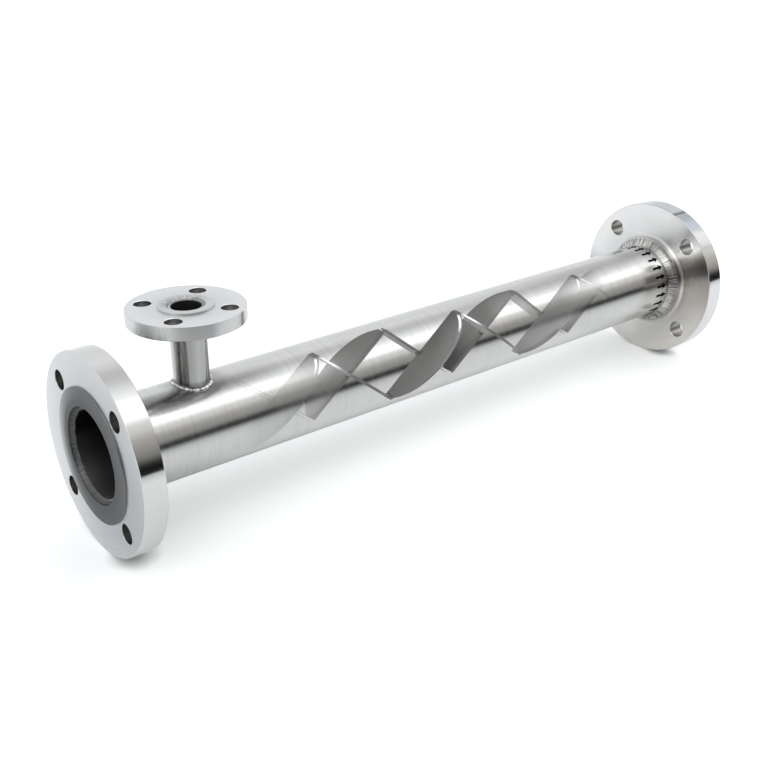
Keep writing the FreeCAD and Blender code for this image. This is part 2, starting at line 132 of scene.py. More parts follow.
class Value:
    """A number, colour or vector in one material's nodes."""

    def __init__(self, tree, socket):
        self.tree = tree
        self.socket = socket

    def node(self, kind, settings=None, output=0, **inputs):
        """Add a node: its settings, then its inputs by name, or as i0, i1 and so on."""
        made = self.tree.nodes.new(kind)
        for name, setting in (settings or {}).items():
            setattr(made, name, setting)
        for name, given in inputs.items():
            connect(made.inputs[int(name[1:]) if name[1:].isdigit() else name], given)
        return Value(self.tree, made.outputs[output])

    __add__ = __radd__ = maths("ADD")
    __mul__ = __rmul__ = maths("MULTIPLY")
    __sub__ = maths("SUBTRACT")
    __rsub__ = maths("SUBTRACT", swapped=True)
    __truediv__ = maths("DIVIDE")
    __rtruediv__ = maths("DIVIDE", swapped=True)
    __lt__ = maths("LESS_THAN")
    __gt__ = maths("GREATER_THAN")

    def math(self, operation, *others):
        """Any other Math node."""
        inputs = {"i%d" % place: given for place, given in enumerate((self, *others))}
        return self.node("ShaderNodeMath", {"operation": operation}, **inputs)

    def ramp(self, low, high, start=0.0, end=1.0):
        """A straight line from start at low to end at high, held level outside."""
        limits = {"i1": low, "i2": high, "i3": start, "i4": end}
        return self.node("ShaderNodeMapRange", {"clamp": True}, i0=self, **limits)

    def spread(self, start, end):
        """Noise, which lies mostly between 0.3 and 0.7, spread over another range."""
        return self.ramp(0.3, 0.7, start, end)

    def table(self, stops, low, high, unit=1.0):
        """The tone at this value, on straight lines through (place, tone) stops."""
        share = self.ramp(low * unit, high * unit)
        made = share.node("ShaderNodeValToRGB", i0=share)
        elements = made.socket.node.color_ramp.elements
        elements.remove(elements[1])
        for index, (place, tone) in enumerate(stops):
            position = (place - low) / (high - low)
            element = elements.new(position) if index else elements[0]
            element.position = position
            element.color = (*rgb(tone), 1.0)
        return made

    def mix(self, first, second):
        """From the first colour at 0 to the second at 1. A Math node would turn them grey."""
        return self.node("ShaderNodeMix", {"data_type": "RGBA"}, 2, i0=self, i6=first, i7=second)

    def scaled(self, factor):
        """A colour made lighter or darker by a factor."""
        return self.node("ShaderNodeVectorMath", {"operation": "SCALE"}, i0=self, Scale=factor)

    def tinted(self, tint):
        """A grey tone from 0 to 1, turned to a colour."""
        return self.mix((0.0, 0.0, 0.0), tint)


def coordinates(tree, kind):
    """A texture coordinate, followed by its x, y and z."""
    place = Value(tree, tree.nodes.new("ShaderNodeTexCoord").outputs[kind])
    parts = place.node("ShaderNodeSeparateXYZ", i0=place).socket.node.outputs
    return [place] + [Value(tree, part) for part in parts]


def ray_is(tree, kind):
    """1 for rays of one kind, and 0 for the others."""
    return Value(tree, tree.nodes.new("ShaderNodeLightPath").outputs["Is %s Ray" % kind])


class Finish:
    """One material, its Principled shader and the object's own coordinates in metres."""

    def __init__(self, name, colour, roughness, metallic=1.0):
        self.material = bpy.data.materials.new(name)
        self.material.use_nodes = True
        self.tree = self.material.node_tree
        self.shader = self.tree.nodes["Principled BSDF"]
        self.feed("Base Color", rgb(colour))
        self.feed("Metallic", metallic)
        self.feed("Roughness", roughness)
        self.place, self.x, self.y, self.z = coordinates(self.tree, "Object")

    def feed(self, socket_name, given):
        connect(self.shader.inputs[socket_name], given)

    def noise(self, x, y, z=0.0, detail=2.0, roughness=0.5):
        """Soft noise from 0 to 1. It gets finer as its coordinates are multiplied up."""
        place = self.place.node("ShaderNodeCombineXYZ", X=x, Y=y, Z=z)
        settings = {"Scale": 1.0, "Detail": detail, "Roughness": roughness}
        return self.place.node("ShaderNodeTexNoise", Vector=place, **settings)

    def grain(self, x, y, z, **settings):
        """Noise on the object's own coordinates, with so many grains to the metre."""
        return self.noise(self.x * x, self.y * y, self.z * z, **settings)

    def bump(self, height, depth):
        """Turn a height from 0 to 1 into relief of that depth in metres."""
        relief = self.place.node("ShaderNodeBump", Strength=1.0, Distance=depth, Height=height)
        self.feed("Normal", relief)


# %% [markdown]
# ## Brushed pipe
# The pipe is polished with a belt that runs round it, so it carries fine scratches along its
# circumference. Noise that is stretched round the pipe and packed close along X gives them.
# The same scratches change the gloss a little, which is what breaks up the long reflections.


# %% Scratches round the pipe
STEEL = (0.63, 0.63, 0.62)


def across_x(finish, density, softness):
    """Noise in thin hoops round X: density along the axis, softness round it."""
    return finish.grain(density, softness, softness, detail=3.0, roughness=0.6)


def radius_about(finish, axis):
    """Distance from the pipe's axis, or from the nozzle's."""
    first = finish.y if axis == "X" else finish.x - NOZZLE_X * MM
    second = finish.z if axis == "X" else finish.y
    return (first * first + second * second).math("SQRT")


def turn_about(finish, axis):
    """Angle round the pipe or the nozzle in degrees. Round the pipe, 90 is at the top."""
    first = finish.y * -1.0 if axis == "X" else finish.x - NOZZLE_X * MM
    second = finish.z if axis == "X" else finish.y
    return second.math("ARCTAN2", first) * (180 / math.pi)


def by_angle(finish, stops, axis="X"):
    """A tone or colour that changes with the angle round the pipe or the nozzle."""
    return turn_about(finish, axis).table(stops, -180.0, 180.0)


def along_pipe(finish, stops):
    """A tone that changes along the pipe, at the x of each stop in millimetres."""
    return finish.x.table(stops, stops[0][0], stops[-1][0], MM)


# Painted shade: the underside mirrors its own shadow on the floor, deepest near the inlet.
UNDERSIDE_PAINTED_SHADE = (
    (60, 0.71), (80, 0.67), (150, 0.58), (200, 0.51), (260, 0.45), (320, 0.4), (440, 0.3),
    (560, 0.17), (600, 0.09), (690, 0.03), (720, 0.15),
)
# Painted reflections: the steel is a little darker or lighter by the angle round the pipe.
PAINTED_REFLECTION_TONES = (
    (-10, 1), (0, 0.9), (4, 0.8), (7, 0.7), (10, 0.46), (13, 0.42), (15, 0.82), (17, 1.3),
    (19, 1.42), (23, 1.15), (27, 1.06), (32, 1.08), (37, 1),
)
# A painted dark reflection in a stripe near the top darkens the pipe towards the outlet.
TOP_PAINTED_REFLECTION = ((-180, 0), (66, 0.05), (74, 0.8), (80, 1), (84, 0.7), (90, 0))
# The next tones come in pairs, by the angle and along the pipe. The nozzle's painted shade
# darkens the shoulder beside it. The low painted light lightens the pipe's flank, and the
# outlet's painted light stands for the light that the flange's back throws on the pipe just
# before the arrows.
NOZZLE_SHADE = ((52, 0), (58, 0.8), (66, 1), (72, 0.65), (80, 0.28), (88, 0))
NOZZLE_SHADE_ALONG = (
    (12, 0), (60, 0.32), (82, 0.44), (90, 0.33), (112, 0.25), (126, 0.46), (150, 0.3), (190, 0),
)
LOW_PAINTED_LIGHT = ((-60, 0), (-45, 0.7), (-35, 1), (-22, 0.7), (-10, 0))
LOW_PAINTED_LIGHT_ALONG = ((100, 0), (150, 0.1), (440, 0.11), (560, 0.22), (660, 0.18), (700, 0))
OUTLET_PAINTED_LIGHT = (
    (-42, 0), (-32, 0.3), (-20, 0.85), (-10, 0.45), (4, 0.35), (12, 0.1), (18, 0.7), (24, 1.9),
    (30, 1.3), (36, 0.25), (42, 1.5), (50, 1.2), (60, 0.8), (72, 0.2), (180, 0),
)
OUTLET_PAINTED_LIGHT_ALONG = ((690, 0), (722, 0.6), (730, 0.6), (742, 0.25), (760, 0.1))


def brushed_pipe():
    finish = Finish("pipe_brushed_steel", STEEL, roughness=0.18)
    fine = across_x(finish, 2400.0, 24.0)
    middle = across_x(finish, 900.0, 16.0)
    broad = across_x(finish, 240.0, 12.0)
    finish.bump(fine, 0.00002)
    finish.feed("Roughness", (fine * 0.6 + broad * 0.4).spread(0.14, 0.22))
    scratches = (middle * 0.6 + broad * 0.4).ramp(0.35, 0.65)
    tone = scratches.mix((0.60, 0.60, 0.585), (0.67, 0.67, 0.665))
    # Painted shade: darker on the underside, and low down near the inlet.
    shade = finish.z.ramp(-29 * MM, -36.5 * MM) * along_pipe(finish, UNDERSIDE_PAINTED_SHADE)
    shade = shade + finish.z.ramp(0.0, -20 * MM) * finish.x.ramp(40 * MM, 120 * MM, 0.16, 0.0)
    # Painted shade round the nozzle, on top of the pipe.
    painted_shade_by_nozzle = radius_about(finish, "Z").ramp(17 * MM, 34 * MM, 0.42, 0.0) * (finish.z > 0.0)
    # Painted reflections: darker bands near the top and beside the nozzle, lighter ones on the
    # flank and before the outlet.
    painted_dark_bands = by_angle(finish, TOP_PAINTED_REFLECTION) * finish.x.ramp(380 * MM, 620 * MM, 0.0, 0.30)
    painted_dark_bands = painted_dark_bands + by_angle(finish, NOZZLE_SHADE) * along_pipe(finish, NOZZLE_SHADE_ALONG)
    lift = by_angle(finish, OUTLET_PAINTED_LIGHT) * along_pipe(finish, OUTLET_PAINTED_LIGHT_ALONG)
    lift = lift + by_angle(finish, LOW_PAINTED_LIGHT) * along_pipe(finish, LOW_PAINTED_LIGHT_ALONG)
    tone = tone.scaled(by_angle(finish, PAINTED_REFLECTION_TONES) * (1.0 - painted_dark_bands) + lift)
    finish.feed("Base Color", tone.scaled((1.0 - shade) * (1.0 - painted_shade_by_nozzle)))
    return finish


# %% [markdown]
# ## The view through the wall
# The photograph shows the mixing plates through the pipe, as if the steel had turned to smoke
# over them. The wall stays whole here. Its finish only thins where a line from the photograph's
# viewpoint, through that point of the wall, goes on to meet a plate. Each plate lies in a plane,
# so the meeting point is one division, and it is on the plate if it is on the plate's side of
# the middle and inside the stack's radius. The curved edges all lie on one round, so there the
# meeting point is where the line enters that round. They matter for the right plates, which
# turn theirs to the viewer. The plates fade towards the ends of the stack.

# %% Where the wall thins
SLOPE = 2 * ELEMENT_R / ELEMENT_PITCH
PLATE_HALF_RISE = PLATE_THICKNESS / 2 * math.sqrt(1 + SLOPE * SLOPE)
# How far the wall thins at each x: over the plates, and over the lit part of their curved edges.
PLATE_FADE = (
    (125, 0.04), (160, 0.22), (190, 0.42), (215, 0.62), (235, 0.86), (250, 0.96), (280, 1),
    (450, 1), (475, 0.92), (500, 0.84), (545, 0.78), (560, 0.78), (580, 0.64), (600, 0.52),
    (613, 0.52), (624, 0.34), (636, 0.08), (660, 0),
)
LIT_FADE = (
    (125, 0), (170, 0.25), (200, 0.7), (235, 0.95), (280, 1), (560, 0.95), (600, 0.92),
    (622, 0.8), (638, 0.4), (650, 0), (690, 0),
)
# Heights in millimetres: a curved edge is lit above the first, and is left out below the
# second. The third is the lower limit of the lit part, from the middle of the edge.
LIT_HEIGHT = 26.0
LOWEST_EDGE = -31.0
LIT_BELOW = -0.8


def lit_level(x, z):
    """The height that decides how lit a curved edge is. On the last element it is raised."""
    return z + x.ramp(620 * MM, 635 * MM, 0.0, 5 * MM)


def any_of(masks):
    """1 where at least one of the masks is 1."""
    joined = masks[0]
    for mask in masks[1:]:
        joined = joined.math("MAXIMUM", mask)
    return joined


def plates_from_photo(finish):
    """Two masks for lines from the photograph's eye through this point: 1 where the line meets a
    plate, and 1 where it meets the lit part of a right plate's curved edge."""
    eye_x, eye_y, eye_z = EYE.x * MM, EYE.y * MM, (EYE.z - STACK_Z) * MM
    step_x = finish.x - eye_x
    step_y = finish.y - eye_y
    step_z = finish.z - (STACK_Z * MM + eye_z)
    # Where the line enters the round that the plates' curved edges lie on.
    across = step_y * step_y + step_z * step_z
    towards = step_y * eye_y + step_z * eye_z
    clear = eye_y**2 + eye_z**2 - (ELEMENT_R * MM) ** 2
    entry = (towards * -1.0 - (towards * towards - across * clear).math("SQRT")) / across
    edge_x = entry * step_x + eye_x
    edge_z = entry * step_z + eye_z
    in_front = (entry * step_y + eye_y < 0.0) * (edge_z > LOWEST_EDGE * MM)
    high = lit_level(edge_x, edge_z) > LIT_HEIGHT * MM
    plates, lit = [], []
    for rising in (True, False):
        slope = SLOPE if rising else -SLOPE
        eye_level = eye_z - slope * eye_x
        per_step = 1.0 / (step_z - slope * step_x)
        for number in range(1, ELEMENT_COUNT + 1):
            right_side = (number % 2 == 1) == rising
            middle_x = (STACK_START + ELEMENT_PITCH * (number - 0.5)) * MM
            if right_side:
                offset = edge_x - middle_x
                within = offset.math("ABSOLUTE") < ELEMENT_PITCH / 2 * MM
                rise = edge_z - offset * slope
                edge = (rise.math("ABSOLUTE") < PLATE_HALF_RISE * MM) * within * in_front
                plates.append(edge)
                lit.append(edge * high * (rise > LIT_BELOW * MM))
            if right_side and not rising:
                # It is seen edge-on, so its sides add nothing.
                continue
            for side in (PLATE_HALF_RISE, -PLATE_HALF_RISE):
                reach = per_step * (side * MM - slope * middle_x - eye_level)
                hit_y = reach * step_y + eye_y
                hit_z = reach * step_z + eye_z
                offset = (reach * step_x + (eye_x - middle_x)).math("ABSOLUTE")
                inside = (hit_y * hit_y + hit_z * hit_z) < (ELEMENT_R * MM) ** 2
                inside = inside * (offset < ELEMENT_PITCH / 2 * MM)
                plates.append(inside * ((hit_y < 0.0) if right_side else (hit_y > 0.0)))
    return any_of(plates), any_of(lit)


def thin_over_plates(finish):
    """Let the wall fade where the plates lie behind it, on the side that faces the viewpoint."""
    plates, lit = plates_from_photo(finish)
    shown = any_of([plates * along_pipe(finish, PLATE_FADE), lit * along_pipe(finish, LIT_FADE)])
    facing = finish.y * (EYE.y * MM) + finish.z * (EYE.z * MM) > (BORE_R * MM) ** 2
    finish.feed("Alpha", 1.0 - shown * facing)


pipe_skin = brushed_pipe()
thin_over_plates(pipe_skin)
pipe_bore = Finish("pipe_bore_steel", 0.34, roughness=0.4)
pipe_bore.bump(across_x(pipe_bore, 900.0, 20.0), 0.00003)
# Painted shade darkens the inlet's mouth inwards and upwards. Painted light makes the stack's
# stretch bright behind the plates.
mouth_painted_shade = pipe_bore.x.ramp(4 * MM, 60 * MM, 0.44, 0.05)
mouth_painted_shade = mouth_painted_shade * pipe_bore.z.ramp(-BORE_R * MM, 10 * MM, 1.0, 0.08)
pipe_bore.feed("Base Color", mouth_painted_shade + pipe_bore.x.ramp(110 * MM, 170 * MM, 0.0, 0.78))
thin_over_plates(pipe_bore)

# %% [markdown]
# ## Turned flanges
# A flange comes off a lathe. Its flat sides carry fine rings, its rim is polished, and the
# raised face is cut with coarser rings for the gasket. All of these are noise on the radius.
# The nozzle flange's rim alone is brushed.


# %% Flange finishes
def turned_face(name, axis, roughness, pitch, depth):
    """Steel with fine lathe rings about an axis."""
    finish = Finish(name, STEEL, roughness)
    radius = radius_about(finish, axis)
    rings = finish.noise(radius * pitch, 0.0)
    finish.bump(rings, depth)
    finish.feed("Roughness", rings.spread(roughness - 0.05, roughness + 0.05))
    return finish, radius


def inlet_side():
    """The inlet's bolting face: a cool grey, with painted light that makes it lightest at the
    outside and on the left.
    """
    finish, radius = turned_face("inlet_turned_side", "X", 0.3, 1500.0, 0.00001)
    across, up = finish.y / radius, finish.z / radius
    tone = across * 0.10 + (up * -1.0).ramp(0.0, 1.0) * 0.06 + 0.60
    tone = tone * radius.ramp(66 * MM, 92 * MM, 0.86, 1.0)
    finish.feed("Base Color", tone.tinted((0.985, 1.0, 1.02)))
    return finish.material


def gasket_face():
    """The raised face, cut with coarse rings that darken it, with a painted highlight at its left
    edge.
    """
    finish, radius = turned_face("flange_gasket_face", "X", 0.5, 900.0, 0.00004)
    left = (finish.y / radius).ramp(0.0, 1.0)
    left_painted_highlight = left * left * radius.ramp(50 * MM, 63 * MM, 0.0, 0.42)
    inner = radius.ramp(50 * MM, 58 * MM, 0.102, 0.128)
    tone = left_painted_highlight + (radius > 63.3 * MM) * 0.16 + inner
    finish.feed("Base Color", tone.tinted((0.98, 1.0, 1.02)))
    return finish.material


# Turned steel gathers light in lobes that fan out from its centre, and here these lobes are
# painted reflections in the colour. Near the hub and near the rim of the outlet flange's back
# they lie at different angles round the pipe.
LOBES_AT_HUB = (
    (-180, 0.6), (-110, (0.84, 0.83, 0.8)), (-90, (0.68, 0.66, 0.63)), (-60, (0.63, 0.61, 0.59)),
    (-30, (0.55, 0.53, 0.51)), (0, (0.58, 0.55, 0.52)), (15, (0.34, 0.31, 0.28)),
    (30, (0.34, 0.32, 0.3)), (38, (0.48, 0.47, 0.46)), (45, (0.8, 0.8, 0.79)),
    (52, (0.76, 0.76, 0.75)), (62, (0.54, 0.54, 0.53)), (75, 0.57), (105, 0.68), (150, 0.64),
    (180, 0.6),
)
LOBES_AT_RIM = (
    (-180, 0.52), (-165, (0.58, 0.58, 0.57)), (-150, (0.72, 0.72, 0.71)),
    (-105, (0.82, 0.8, 0.77)), (-45, (0.82, 0.79, 0.76)), (-20, (0.75, 0.72, 0.69)),
    (0, (0.57, 0.53, 0.49)), (12, (0.46, 0.42, 0.38)), (18, 0.13), (24, 0.1),
    (30, (0.25, 0.22, 0.19)), (34, (0.5, 0.49, 0.48)), (38, 0.9), (45, (0.7, 0.7, 0.69)),
    (52, (0.45, 0.45, 0.44)), (60, (0.64, 0.64, 0.63)), (75, 0.74), (150, 0.79), (165, 0.78),
    (180, 0.52),
)
# The hub's end stands in the weld's light, and painted shade makes it darker than the back round
# it.
HUB_END_SHADE = (
    (-180, 0.9), (-95, 0.85), (-75, 0.6), (-45, 0.5), (-15, 0.36), (0, 0.4), (15, 0.4),
    (30, 0.17), (45, 0.21), (52, 0.27), (60, 0.44), (75, 0.7), (105, 0.96), (130, 0.86),
    (165, 0.68), (180, 0.9),
)


def outlet_side():
    """The back of the outlet flange, which the photograph shows."""
    finish, radius = turned_face("outlet_turned_side", "X", 0.3, 1500.0, 0.00001)
    outward = radius.ramp(60 * MM, 86 * MM)
    # Painted reflections: lobes of light by the angle round the pipe, and painted shade on the
    # hub's end.
    back = outward.mix(by_angle(finish, LOBES_AT_HUB), by_angle(finish, LOBES_AT_RIM))
    hub_shade = by_angle(finish, HUB_END_SHADE)
    on_back = radius.ramp(52.8 * MM, 54.5 * MM)
    finish.feed("Base Color", back.scaled(hub_shade + (1.0 - hub_shade) * on_back))
    return finish.material


def polished_rim(name):
    """A rim polished on the lathe: thin lines round it, with a near mirror between them."""
    finish = Finish(name, (0.66, 0.66, 0.65), roughness=0.1)
    lines = finish.noise(finish.x * 2400.0, 0.0)
    finish.bump(lines, 0.000006)
    finish.feed("Roughness", lines.spread(0.06, 0.13))
    return finish


# Painted reflection: the small flange's rim mirrors the flange beside it in a few broad bars.
NOZZLE_RIM_PAINTED_REFLECTION = (
    (-180, 0.66), (-174, 0.64), (-167, 0.48), (-158, 0.42), (-150, 0.46), (-142, 0.6),
    (-135, 0.57), (-127, 0.43), (-119, 0.38), (-96, 0.4), (-87, 0.6), (-70, 0.64), (-60, 0.72),
    (-57, 0.36), (-54, 0.42), (-50, 0.8), (-40, 0.68), (-22, 0.66), (-19, 0.45), (-16, 0.66),
)


def brushed_rim():
    """The small flange's rim, brushed up and down, so its streaks run across it."""
    finish = Finish("nozzle_brushed_rim", 0.66, roughness=0.3)
    lines = finish.grain(700.0, 700.0, 20.0)
    finish.bump(lines, 0.000004)
    # Painted reflection of the flange beside it, by the angle round the nozzle.
    tone = by_angle(finish, NOZZLE_RIM_PAINTED_REFLECTION, "Z")
    finish.feed("Base Color", tone.scaled(lines.spread(0.96, 1.04)))
    finish.feed("Roughness", lines.spread(0.26, 0.32))
    return finish.material


def nozzle_side():
    """The nozzle flange's top. Painted dark reflections run outwards in strokes behind its bore.
    """
    finish, radius = turned_face("nozzle_turned_side", "Z", 0.34, 1900.0, 0.00002)
    raised = radius < NOZZLE_FLANGE["face"] * MM
    tone = radius.ramp(26 * MM, 46 * MM, 0.65, 0.74) - raised * 0.04
    near_bore = radius.ramp(17 * MM, 25 * MM, 1.0, 0.0)
    behind = (finish.y / radius).ramp(-0.3, 0.4)
    painted_dark_strokes = finish.noise(turn_about(finish, "Z") * 0.22, radius * 40.0, detail=3.0)
    tone = tone * (1.0 - near_bore * behind * painted_dark_strokes.ramp(0.35, 0.7) * 0.75)
    finish.feed("Base Color", tone.tinted((0.99, 1.0, 1.005)))
    return finish.material


# Painted reflection: the outlet's rim mirrors a window frame, a dark bar near the top, and a
# bluish pane below it.
OUTLET_RIM_PAINTED_REFLECTION = (
    (-180, 0.66), (-60, (0.72, 0.72, 0.73)), (10, (0.72, 0.72, 0.73)), (18, (0.84, 0.82, 0.79)),
    (26, (0.9, 0.88, 0.85)), (36, 0.62), (41, 0.44), (50, 0.46), (55, (0.46, 0.49, 0.53)),
    (60, (0.56, 0.6, 0.65)), (69, (0.56, 0.6, 0.65)), (70, (0.2, 0.21, 0.22)),
    (71.5, (0.2, 0.21, 0.22)), (72.5, (0.6, 0.61, 0.62)), (82, (0.5, 0.51, 0.53)),
    (93, (0.52, 0.53, 0.55)), (99, (0.64, 0.64, 0.65)), (180, 0.66),
)

outlet_rim = polished_rim("outlet_polished_rim")
outlet_rim.feed("Base Color", by_angle(outlet_rim, OUTLET_RIM_PAINTED_REFLECTION))

hole_wall = Finish("drilled_hole_steel", (0.34, 0.33, 0.315), roughness=0.32)
hole_wall.bump(across_x(hole_wall, 1500.0, 60.0), 0.00003)

# Painted shade: the inlet's holes take a darker copy of the drilled steel.
inlet_hole = Finish("inlet_hole_steel", (0.30, 0.295, 0.28), roughness=0.32)
raised_face = gasket_face()
top_side = nozzle_side()
inlet_rim = polished_rim("inlet_polished_rim")
# The finishes of each flange, in the order side, gasket face, rim, and bore or hole.
INLET_LOOK = [inlet_side(), raised_face, inlet_rim.material, inlet_hole.material]
OUTLET_LOOK = [outlet_side(), raised_face, outlet_rim.material, hole_wall.material]
NOZZLE_LOOK = [top_side, top_side, brushed_rim(), hole_wall.material]

# %% [markdown]
# ## Modelling helpers
# Everything round is a ring of edges, extruded and scaled from corner to corner of its section
# and bridged at the end, which is what a lathe does. Then chosen rings are bevelled.


# %% Modelling helpers
def none_chosen():
    """Leave edit mode with nothing selected, ready for a new primitive."""
    if bpy.context.object and bpy.context.object.mode != "OBJECT":
        bpy.ops.object.mode_set(mode="OBJECT")
    bpy.ops.object.select_all(action="DESELECT")


def only(*objects):
    """Select these objects alone."""
    none_chosen()
    for chosen in objects:
        chosen.select_set(True)
    bpy.context.view_layer.objects.active = objects[0]


def settle(made, name=None):
    """Put an object's place into its mesh."""
    only(made)
    bpy.ops.object.transform_apply(location=True, rotation=True, scale=True)
    if name:
        made.name = name
        made.data.name = name
    return made


@contextmanager
def editing(made, wanted=lambda part: True, kind="VERT"):
    """Edit mode, with the vertices, edges or faces selected that pass a test."""
    only(made)
    bpy.ops.object.mode_set(mode="EDIT")
    bpy.ops.mesh.select_mode(type=kind)
    bpy.ops.mesh.select_all(action="DESELECT")
    bpy.ops.object.mode_set(mode="OBJECT")
    mesh = made.data
    parts = {"VERT": mesh.vertices, "EDGE": mesh.edges, "FACE": mesh.polygons}[kind]
    for part in parts:
        part.select = bool(wanted(part))
    bpy.ops.object.mode_set(mode="EDIT")
    yield
    bpy.ops.object.mode_set(mode="OBJECT")


def extrude(x=0.0, z=0.0):
    """Extrude what is selected by so many millimetres."""
    bpy.ops.mesh.extrude_region_move(TRANSFORM_OT_translate={"value": (x * MM, 0, z * MM)})


def widen(factor, x=0.0):
    """Scale what is selected about the X axis, at x in millimetres."""
    bpy.ops.transform.resize(value=(1, factor, factor), center_override=(x * MM, 0, 0))


def outward_normals():
    bpy.ops.mesh.select_all(action="SELECT")
    bpy.ops.mesh.normals_make_consistent(inside=False)


def apply_modifier(made, kind, **settings):
    only(made)
    modifier = made.modifiers.new(kind.lower(), kind)
    for name, setting in settings.items():
        setattr(modifier, name, setting)
    bpy.ops.object.modifier_apply(modifier=modifier.name)


def cut_with(made, cutter):
    """Cut one closed mesh with another, and throw the cutter away."""
    apply_modifier(made, "BOOLEAN", object=cutter, operation="DIFFERENCE", solver="EXACT")
    bpy.data.objects.remove(cutter)


def smooth(made, degrees=35.0):
    """Round surfaces shade smooth, and flat ones stay flat up to their bevels."""
    only(made)
    bpy.ops.object.shade_smooth_by_angle(angle=math.radians(degrees))
    apply_modifier(made, "WEIGHTED_NORMAL", keep_sharp=True)


def cylinder(name, radius, length, segments, x=0.0, z=0.0, upright=False):
    """A closed cylinder about a place on the X-Z plane, in millimetres."""
    bpy.ops.mesh.primitive_cylinder_add(
        vertices=segments,
        radius=radius * MM,
        depth=length * MM,
        location=(x * MM, 0, z * MM),
        rotation=(0, 0 if upright else math.pi / 2, 0),
    )
    return settle(bpy.context.object, name)


def lathe(name, section, segments=192):
    """Turn a closed section of (x, radius) corners, in millimetres, about X."""
    start, radius = section[0]
    none_chosen()
    bpy.ops.mesh.primitive_circle_add(
        vertices=segments,
        radius=radius * MM,
        location=(start * MM, 0, 0),
        rotation=(0, math.pi / 2, 0),
    )
    made = settle(bpy.context.object, name)
    bpy.ops.object.mode_set(mode="EDIT")
    bpy.ops.mesh.select_mode(type="EDGE")
    bpy.ops.mesh.select_all(action="SELECT")
    for next_x, next_radius in section[1:]:
        extrude(next_x - start)
        widen(next_radius / radius, next_x)
        start, radius = next_x, next_radius
    bpy.ops.mesh.select_all(action="DESELECT")
    bpy.ops.mesh.select_non_manifold()
    bpy.ops.mesh.bridge_edge_loops()
    outward_normals()
    bpy.ops.object.mode_set(mode="OBJECT")
    return made


def radius_of(point):
    return math.hypot(point.y, point.z)


def bevel_ring(made, x, radius, width, segments):
    """Round the ring of edges at one corner of a turned piece."""
    mesh = made.data
    close = 2e-5

    def on_ring(edge):
        ends = [mesh.vertices[index].co for index in edge.vertices]
        return all(
            abs(end.x - x * MM) < close and abs(radius_of(end) - radius * MM) < close
            for end in ends
        )

    with editing(made, on_ring, "EDGE"):
        bpy.ops.mesh.bevel(
            offset=width * MM, segments=segments, affect="EDGES", clamp_overlap=True
        )


def move(made, matrix):
    """Move a piece and put the move into its mesh."""
    made.matrix_world = matrix
    return settle(made)


def copy_piece(made, name, matrix):
    """A copy with its own mesh, moved into place."""
    only(made)
    bpy.ops.object.duplicate()
    copied = bpy.context.object
    copied.name = name
    copied.data.name = name
    return move(copied, matrix)


def dress(made, materials, pick=None):
    """Give a piece its materials. Pick chooses one for each face."""
    made.data.materials.clear()
    for material in materials:
        made.data.materials.append(material)
    if pick:
        for face in made.data.polygons:
            face.material_index = pick(face)


def belongs(made, slot, *nodes):
    """The piece rides on the body and stands for CAD nodes. The slot is not used."""
    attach(made, "root")
    if nodes:
        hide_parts(*nodes)
    triangles = sum(len(face.vertices) - 2 for face in made.data.polygons)
    print("%-22s %6d triangles" % (made.name, triangles))


TO_INLET = Matrix.Translation((INLET_FACE * MM, 0, 0))
TO_OUTLET = Matrix.Translation((OUTLET_FACE * MM, 0, 0)) @ Matrix.Rotation(math.pi, 4, "Z")
TO_NOZZLE = Matrix.Translation((NOZZLE_X * MM, 0, NOZZLE_TOP * MM)) @ Matrix.Rotation(
    math.pi / 2, 4, "Y"
)

# %% [markdown]
# ## The flanges
# A slip-on flange is a thick ring with a short hub, a raised face for the gasket and four bolt
# holes. The holes are cut with a spool that flares at both ends, so that each mouth gets the
# small chamfer a drill hand leaves. The same function turns the main and the nozzle flange.

# %% Turn and drill a flange
HUB_END_EDGE, FACE_EDGE, BORE_EDGE = 0.9, 0.25, 0.7
MOUTH_CHAMFER = 0.5
SPOOL_FLARE = 3.0


def bolt_spool(size):
    """A cutter for one bolt hole, flared past both faces of the flange."""
    near = size["step"] + MOUTH_CHAMFER
    far = size["back"] - MOUTH_CHAMFER
    radius = size["bolt_hole"]
    spool = cylinder("bolt_spool", radius, far - near, 48, x=(near + far) / 2)
    for end, way in ((near, -1), (far, 1)):
        with editing(spool, lambda face, end=end: abs(face.center.x - end * MM) < 1e-6, "FACE"):
            extrude(way * SPOOL_FLARE)
            widen((radius + SPOOL_FLARE) / radius, end + way * SPOOL_FLARE)
    return spool


def turned_flange(name, size):
    """One flange, with its raised face at X = 0 and its hub along +X."""
    corners = [
        (0.0, size["bore"]),
        (0.0, size["face"]),
        (size["step"], size["face"]),
        (size["step"], size["rim"]),
        (size["back"], size["rim"]),
        (size["back"], size["hub"]),
        (size["hub_end"], size["hub"]),
        (size["hub_end"], size["bore"]),
    ]
    made = lathe(name, corners)
    bevel_ring(made, size["step"], size["rim"], size["edge"], 3)
    bevel_ring(made, size["back"], size["rim"], size["edge"], 3)
    bevel_ring(made, size["back"], size["hub"], size["root"], 6)
    bevel_ring(made, size["hub_end"], size["hub"], HUB_END_EDGE, 3)
    bevel_ring(made, 0.0, size["face"], FACE_EDGE, 2)
    bevel_ring(made, 0.0, size["bore"], BORE_EDGE, 3)
    spool = bolt_spool(size)
    for corner in range(4):
        angle = math.radians(45 + 90 * corner)
        y, z = (size["bolt_circle"] * share * MM for share in (math.cos(angle), math.sin(angle)))
        cut_with(made, copy_piece(spool, "bolt_spool_copy", Matrix.Translation((0, y, z))))
    bpy.data.objects.remove(spool)
    smooth(made)
    return made


